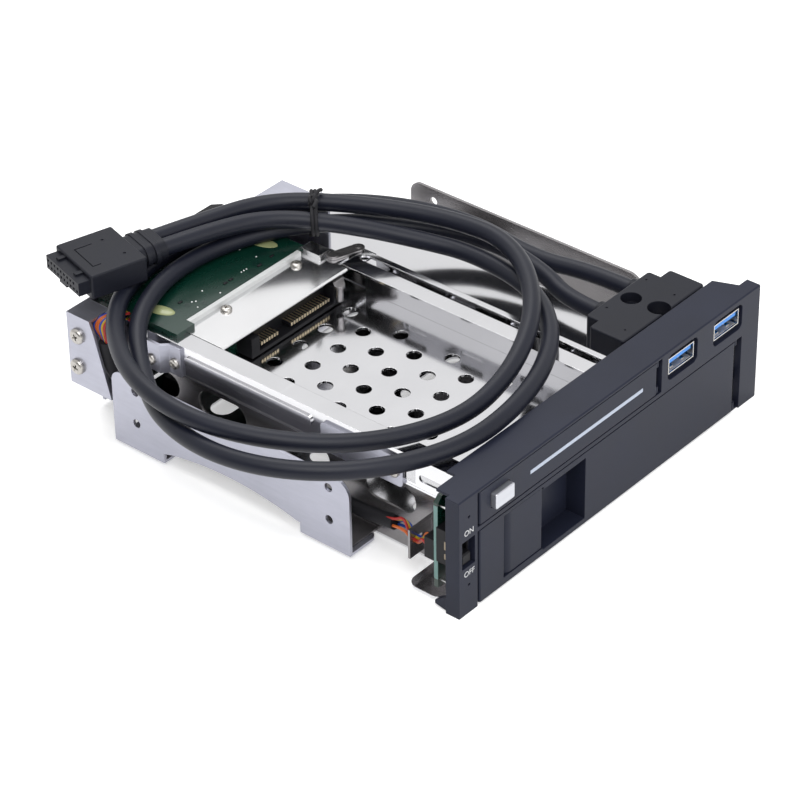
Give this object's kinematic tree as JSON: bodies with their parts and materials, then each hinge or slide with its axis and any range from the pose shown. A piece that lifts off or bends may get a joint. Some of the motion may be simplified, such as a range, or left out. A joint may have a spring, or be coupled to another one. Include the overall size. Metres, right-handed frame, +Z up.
{
  "type": "hot swap drive cage",
  "caption": "Half-height bay cage for a slim drive above a wide drive, with hinged front doors, ejector levers, rear sockets, USB front ports and a coiled USB header cable.",
  "frame": {"origin": "bottom centre of the cage's box, without the cables", "axes": "+X to the right seen from the front, +Y to the rear, +Z up"},
  "size_m": [0.1773, 0.1736, 0.0574],
  "materials": {
    "bezel_plastic": "satin",
    "black_plastic": "satin",
    "light_bar": "frosted",
    "silver_button": "satin",
    "switch_white": "satin",
    "galvanised_sheet": "satin",
    "polished_sheet": "polished",
    "steel_screw": "bright",
    "green_board": "gloss",
    "usb_blue": "gloss",
    "cable_jacket": "satin",
    "wire_insulation": "gloss"
  },
  "bodies": {
    "cage": {"bezel": "bezel_plastic", "upper_hinge_pin": "steel_screw", "lower_hinge_pin": "steel_screw", "switch_body": "black_plastic", "front_board": "green_board", "board_connector": "switch_white", "lower_cage": "polished_sheet", "left_cage_wall": "polished_sheet", "right_cage_wall": "polished_sheet", "left_bracket": "galvanised_sheet", "right_bracket": "galvanised_sheet", "bracket_rivets": "steel_screw", "right_top_plate": "polished_sheet", "left_rail": "polished_sheet", "right_rail": "polished_sheet", "tray_floor": "polished_sheet", "board_tab": "polished_sheet", "rear_cover": "galvanised_sheet", "rear_cover_screws": "steel_screw", "upper_cover_plate": "polished_sheet", "cover_standoffs": "steel_screw", "cover_screws": "steel_screw", "insulator_strip": "switch_white", "upper_backplane": "green_board", "riser_board": "green_board", "upper_sata_connector": "black_plastic", "lower_backplane": "green_board", "lower_sata_connector": "black_plastic", "rear_data_sockets": "black_plastic", "rear_power_socket": "black_plastic", "joggle_bracket": "galvanised_sheet", "joggle_screws": "steel_screw", "link_plate": "galvanised_sheet", "link_plate_screw": "steel_screw", "usb_shells": "steel_screw", "usb_tongues": "usb_blue", "usb_block": "bezel_plastic", "block_screw": "steel_screw", "lower_eject_pivot": "steel_screw", "usb_cable_a": "cable_jacket", "usb_cable_b": "cable_jacket", "header_connector": "bezel_plastic", "cable_tie": "cable_jacket", "harness_sleeve": "cable_jacket", "harness_wires": "wire_insulation"},
    "upper_door": {"upper_door": "bezel_plastic", "light_bar": "light_bar"},
    "eject_button": {"eject_button": "silver_button"},
    "lower_door": {"lower_door": "bezel_plastic", "latch_pin": "steel_screw"},
    "latch_handle": {"latch_handle": "bezel_plastic"},
    "switch_knob": {"switch_knob": "black_plastic"},
    "upper_eject_bar": {"upper_eject_bar": "polished_sheet"},
    "upper_eject_lever": {"upper_eject_lever": "steel_screw"},
    "lower_eject_bar": {"lower_eject_bar": "polished_sheet"},
    "lower_eject_lever": {"lower_eject_lever": "steel_screw"}
  },
  "joints": [
    {"name": "upper_door_hinge", "type": "hinge", "parent": "cage", "child": "upper_door", "pos_m": [0.0214, -0.08055, 0.035], "axis": [0, 0, 1], "range_deg": [0, 90]},
    {"name": "eject_button_slide", "type": "slide", "parent": "upper_door", "child": "eject_button", "axis": [0, 1, 0], "range_m": [0, 0.0012], "stiffness_N_per_m": 400, "springref_m": -0.0005},
    {"name": "lower_door_hinge", "type": "hinge", "parent": "cage", "child": "lower_door", "pos_m": [0.0633, -0.08035, 0.014], "axis": [0, 0, 1], "range_deg": [0, 90]},
    {"name": "latch_handle_hinge", "type": "hinge", "parent": "lower_door", "child": "latch_handle", "pos_m": [-0.0512, -0.08005, 0.0145], "axis": [0, 0, -1], "range_deg": [0, 35], "stiffness_Nm_per_rad": 0.02, "springref_deg": -5.73},
    {"name": "switch_slide", "type": "slide", "parent": "cage", "child": "switch_knob", "axis": [0, 0, 1], "range_m": [0, 0.004]},
    {"name": "upper_bar_slide", "type": "slide", "parent": "cage", "child": "upper_eject_bar", "axis": [0, 1, 0], "range_m": [0, 0.0048]},
    {"name": "upper_lever_pivot", "type": "hinge", "parent": "cage", "child": "upper_eject_lever", "pos_m": [0.0048, 0.03415, 0.0395], "axis": [0, 0, 1], "range_deg": [0, 30]},
    {"name": "lower_bar_slide", "type": "slide", "parent": "cage", "child": "lower_eject_bar", "axis": [0, 1, 0], "range_m": [0, 0.0048]},
    {"name": "lower_lever_pivot", "type": "hinge", "parent": "cage", "child": "lower_eject_lever", "pos_m": [0.0495, 0.06775, 0.0126], "axis": [0, 0, 1], "range_deg": [0, 30]}
  ],
  "couplings": [
    {"joint": "upper_bar_slide", "follows": "upper_door_hinge", "m_per_rad": 0.0030558},
    {"joint": "upper_lever_pivot", "follows": "upper_door_hinge", "ratio": 0.33333},
    {"joint": "lower_bar_slide", "follows": "lower_door_hinge", "m_per_rad": 0.0030558},
    {"joint": "lower_lever_pivot", "follows": "lower_door_hinge", "ratio": 0.33333}
  ]
}
